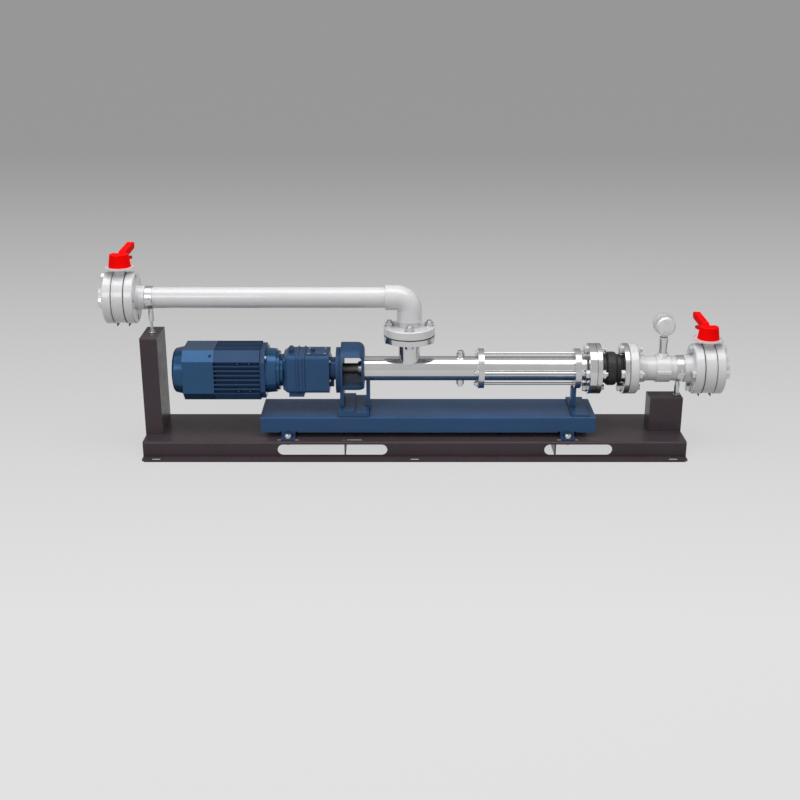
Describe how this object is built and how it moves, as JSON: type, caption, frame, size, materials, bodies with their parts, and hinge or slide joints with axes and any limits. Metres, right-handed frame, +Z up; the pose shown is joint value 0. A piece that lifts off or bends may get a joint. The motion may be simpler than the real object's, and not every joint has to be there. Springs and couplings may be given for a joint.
{
  "type": "progressive cavity pump",
  "caption": "Skid-mounted progressive cavity pump with geared motor, screw rotor and stator, elbowed suction pipe, bellows, gauge and lever butterfly valves.",
  "frame": {"origin": "centre of the floor slot pattern, in the plane of the skid's underside", "axes": "+X along the pump from the suction end to the discharge end, +Y to the rear where the valve levers point, +Z up"},
  "size_m": [1.8962, 0.333, 0.5988],
  "materials": {
    "tray_paint": "gloss dark brown-grey powder coat",
    "blue_paint": "semi-gloss machine blue",
    "lantern_paint": "semi-gloss machine blue",
    "stainless": "polished stainless steel",
    "zinc_steel": "bright zinc-plated steel",
    "gear_steel": "machined steel",
    "core_iron": "varnished laminations",
    "grey_plastic": "light grey pipe plastic",
    "black_plastic": "black moulded plastic",
    "black_rubber": "black rubber",
    "disc_plastic": "grey plastic",
    "red_plastic": "bright red moulded plastic",
    "dial_white": "white dial enamel",
    "clear_window": "clear window"
  },
  "bodies": {
    "frame": {"skid_tray": "tray_paint", "tray_cross_ribs": "tray_paint", "tall_post": "tray_paint", "short_post": "tray_paint", "pump_base_channel": "blue_paint", "base_bolts": "zinc_steel", "pipe_clamps": "zinc_steel", "motor_housing": "blue_paint", "motor_terminal_box": "blue_paint", "motor_fan_cowl": "blue_paint", "motor_end_shields": "blue_paint", "motor_stator_core": "core_iron", "shaft_bearings": "gear_steel", "gearbox_housing": "blue_paint", "gearbox_input_cover": "blue_paint", "lantern": "lantern_paint", "lantern_feet": "blue_paint", "shaft_seal": "gear_steel", "suction_casing": "stainless", "drain_plugs": "stainless", "stator_tube": "stainless", "stator_rubber": "black_rubber", "stator_end_plates": "stainless", "tie_rods": "stainless", "discharge_nozzle": "stainless", "support_leg": "blue_paint", "bellows": "black_rubber", "bellows_flanges": "zinc_steel", "inner_pipe_flanges": "grey_plastic", "outer_pipe_flanges": "grey_plastic", "flange_gaskets": "black_rubber", "suction_pipes": "grey_plastic", "suction_elbow": "grey_plastic", "discharge_pipe": "grey_plastic", "flange_bolts": "zinc_steel", "suction_valve_body": "grey_plastic", "discharge_valve_body": "grey_plastic", "valve_seats": "black_rubber", "index_plates": "grey_plastic", "gauge_saddle": "grey_plastic", "gauge_seal": "stainless", "gauge_case": "stainless", "gauge_dial": "dial_white", "gauge_window": "clear_window"},
    "drive_train": {"drive_shaft": "stainless", "output_gear": "gear_steel"},
    "motor_shaft_set": {"motor_rotor": "gear_steel", "motor_fan": "black_plastic", "motor_pinion": "gear_steel"},
    "layshaft": {"layshaft_gear": "gear_steel"},
    "joint_rod": {"coupling_rod": "stainless", "joint_boots": "black_rubber"},
    "screw_rotor": {"pump_rotor": "stainless"},
    "suction_handle": {"suction_valve_lever": "red_plastic", "suction_valve_disc": "disc_plastic"},
    "suction_latch": {"suction_valve_latch": "red_plastic"},
    "discharge_handle": {"discharge_valve_lever": "red_plastic", "discharge_valve_disc": "disc_plastic"},
    "discharge_latch": {"discharge_valve_latch": "red_plastic"},
    "pointer": {"gauge_pointer": "black_plastic"}
  },
  "joints": [
    {"name": "drive_spin", "type": "hinge", "parent": "frame", "child": "drive_train", "pos_m": [-0.2, 0, 0.243], "axis": [1, 0, 0], "continuous": true},
    {"name": "motor_spin", "type": "hinge", "parent": "frame", "child": "motor_shaft_set", "pos_m": [-0.5, 0, 0.238], "axis": [1, 0, 0], "continuous": true},
    {"name": "layshaft_spin", "type": "hinge", "parent": "frame", "child": "layshaft", "pos_m": [-0.34, 0.03178, 0.2405], "axis": [1, 0, 0], "continuous": true},
    {"name": "rod_whirl", "type": "hinge", "parent": "frame", "child": "joint_rod", "pos_m": [0, 0, 0.243], "axis": [1, 0, 0], "continuous": true},
    {"name": "rotor_spin", "type": "hinge", "parent": "joint_rod", "child": "screw_rotor", "pos_m": [0.3, 0.005, 0.243], "axis": [1, 0, 0], "continuous": true},
    {"name": "suction_lever_turn", "type": "hinge", "parent": "frame", "child": "suction_handle", "pos_m": [-0.87585, 0, 0.466], "axis": [0, 0, 1], "range_deg": [0, 90]},
    {"name": "suction_latch_squeeze", "type": "hinge", "parent": "suction_handle", "child": "suction_latch", "pos_m": [-0.87585, 0.074, 0.5688], "axis": [1, 0, 0], "range_deg": [0, 8], "stiffness_Nm_per_rad": 0.3, "springref_deg": -5.73},
    {"name": "discharge_lever_turn", "type": "hinge", "parent": "frame", "child": "discharge_handle", "pos_m": [0.88985, 0, 0.243], "axis": [0, 0, 1], "range_deg": [-90, 0]},
    {"name": "discharge_latch_squeeze", "type": "hinge", "parent": "discharge_handle", "child": "discharge_latch", "pos_m": [0.88985, 0.074, 0.3458], "axis": [1, 0, 0], "range_deg": [0, 8], "stiffness_Nm_per_rad": 0.3, "springref_deg": -5.73},
    {"name": "pointer_sweep", "type": "hinge", "parent": "frame", "child": "pointer", "pos_m": [0.755, 0.012, 0.38], "axis": [0, -1, 0], "range_deg": [0, 270], "stiffness_Nm_per_rad": 0.0005, "springref_deg": -28.65}
  ],
  "couplings": [
    {"joint": "motor_spin", "follows": "drive_spin", "ratio": 5.76},
    {"joint": "layshaft_spin", "follows": "drive_spin", "ratio": -2.4},
    {"joint": "rod_whirl", "follows": "drive_spin", "ratio": -1},
    {"joint": "rotor_spin", "follows": "drive_spin", "ratio": 2}
  ]
}
